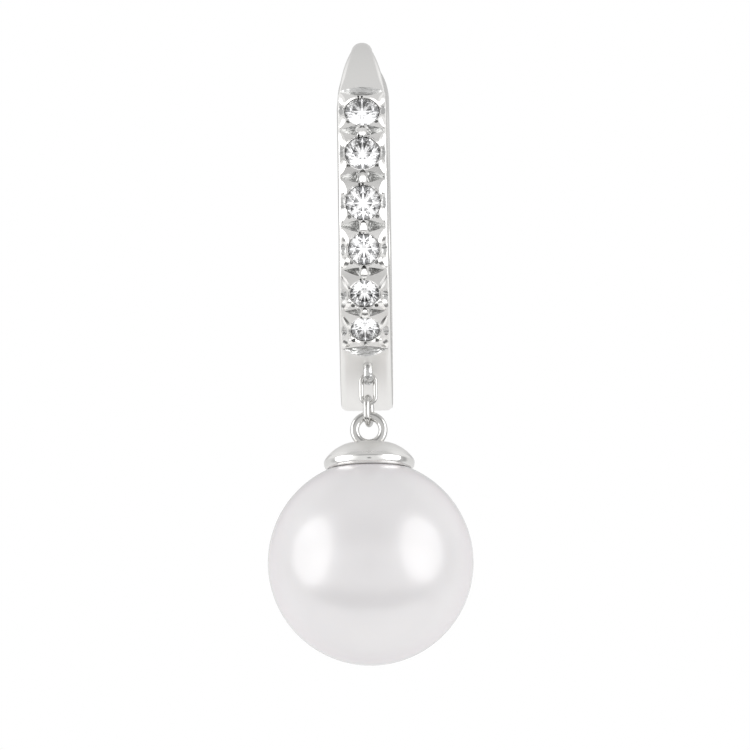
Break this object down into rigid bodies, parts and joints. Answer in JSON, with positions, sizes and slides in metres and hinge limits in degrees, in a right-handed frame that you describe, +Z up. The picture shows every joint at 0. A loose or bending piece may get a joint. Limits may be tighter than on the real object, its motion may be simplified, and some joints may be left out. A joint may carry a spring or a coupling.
{
  "type": "huggie drop earring",
  "caption": "Hinged white-gold hoop with graduated brilliants in a scalloped setting, and a round white pearl hanging from small links.",
  "frame": {"origin": "on the centre line of the ear post's wire at the top of the hoop, where the pierced ear carries the earring", "axes": "+Z up along the hanging drop, -Y towards the stone-set front, +X along the width of the band"},
  "size_m": [0.008, 0.0148, 0.025],
  "materials": {
    "white_gold": "polished and rhodium plated",
    "diamond": "faceted and polished",
    "nacre": "smooth pearly lustre"
  },
  "bodies": {
    "front": {"front_hoop": "white_gold", "hinge_pin": "white_gold", "link_upper": "white_gold", "diamond_1": "diamond", "diamond_2": "diamond", "diamond_3": "diamond", "diamond_4": "diamond", "diamond_5": "diamond", "diamond_6": "diamond"},
    "back": {"back_lever": "white_gold"},
    "lower_link": {"link_lower": "white_gold"},
    "drop": {"pearl_cap": "white_gold", "pearl": "nacre"}
  },
  "joints": [
    {"name": "back_hinge", "type": "hinge", "parent": "front", "child": "back", "pos_m": [0, 0.00198, -0.01289], "axis": [-1, 0, 0], "range_deg": [0, 34]},
    {"name": "link_swing", "type": "hinge", "parent": "front", "child": "lower_link", "pos_m": [0.00008, -0.00365, -0.01439], "axis": [1, 0, 0], "range_deg": [-60, 35]},
    {"name": "drop_sway", "type": "hinge", "parent": "lower_link", "child": "drop", "pos_m": [0.00008, -0.00365, -0.0152], "axis": [0, 1, 0], "range_deg": [-40, 40]}
  ]
}
